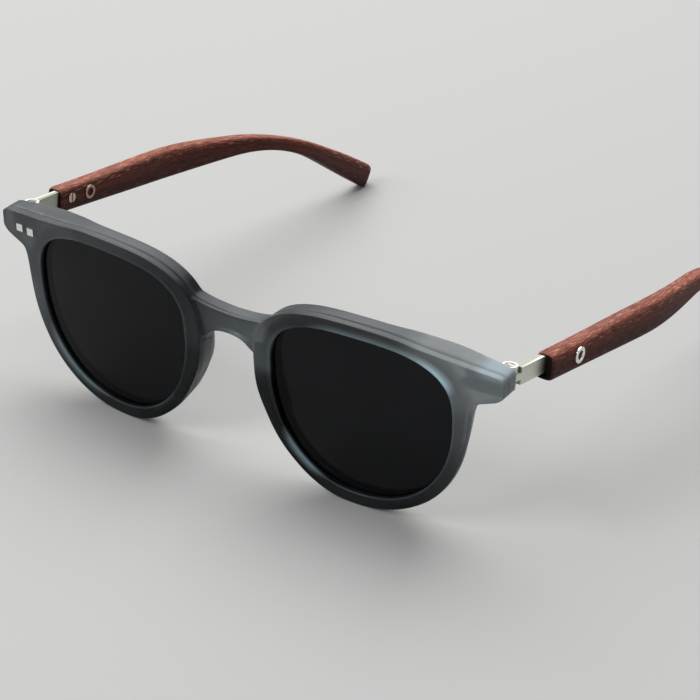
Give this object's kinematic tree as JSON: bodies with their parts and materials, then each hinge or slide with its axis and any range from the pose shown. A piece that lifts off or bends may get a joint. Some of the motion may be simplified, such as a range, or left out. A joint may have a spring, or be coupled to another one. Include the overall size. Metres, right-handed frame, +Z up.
{
  "type": "folding sunglasses",
  "caption": "Sunglasses with a translucent grey moulded front, dark tinted lenses and slim wooden temples that fold on barrel hinges.",
  "frame": {"origin": "on the surface that the glasses stand on, below the middle of the whole box", "axes": "+Z up, the front faces -Y, the open temples run towards +Y, the wearer's left is +X"},
  "size_m": [0.1418, 0.1512, 0.0457],
  "materials": {
    "front": "satin translucent grey-blue plastic with softly rounded edges",
    "lens": "near-black tinted lens, polished",
    "pad": "paler translucent grey plastic, satin",
    "hinge_steel": "polished nickel-silver",
    "polished_steel": "bright polished",
    "washer": "plain turned",
    "wood": "oiled dark red-brown open-grained hardwood, rounded edges"
  },
  "bodies": {
    "front": {"front_frame": "front", "left_lens": "lens", "right_lens": "lens", "left_nose_pad": "pad", "right_nose_pad": "pad", "left_hinge_plate": "hinge_steel", "right_hinge_plate": "hinge_steel", "left_front_rivets": "polished_steel", "right_front_rivets": "polished_steel", "left_hinge_screw": "polished_steel", "right_hinge_screw": "polished_steel", "left_hinge_washers": "washer", "right_hinge_washers": "washer"},
    "left_arm": {"left_hinge_leaf": "hinge_steel", "left_temple": "wood", "left_temple_screw": "polished_steel", "left_temple_rivet": "polished_steel"},
    "right_arm": {"right_hinge_leaf": "hinge_steel", "right_temple": "wood", "right_temple_screw": "polished_steel", "right_temple_rivet": "polished_steel"}
  },
  "joints": [
    {"name": "left_fold", "type": "hinge", "parent": "front", "child": "left_arm", "pos_m": [0.0653, -0.06398, 0.03952], "axis": [0, 0.0861, 0.9963], "range_deg": [0, 87]},
    {"name": "right_fold", "type": "hinge", "parent": "front", "child": "right_arm", "pos_m": [-0.0653, -0.06398, 0.03952], "axis": [0, -0.0861, -0.9963], "range_deg": [0, 80]}
  ]
}
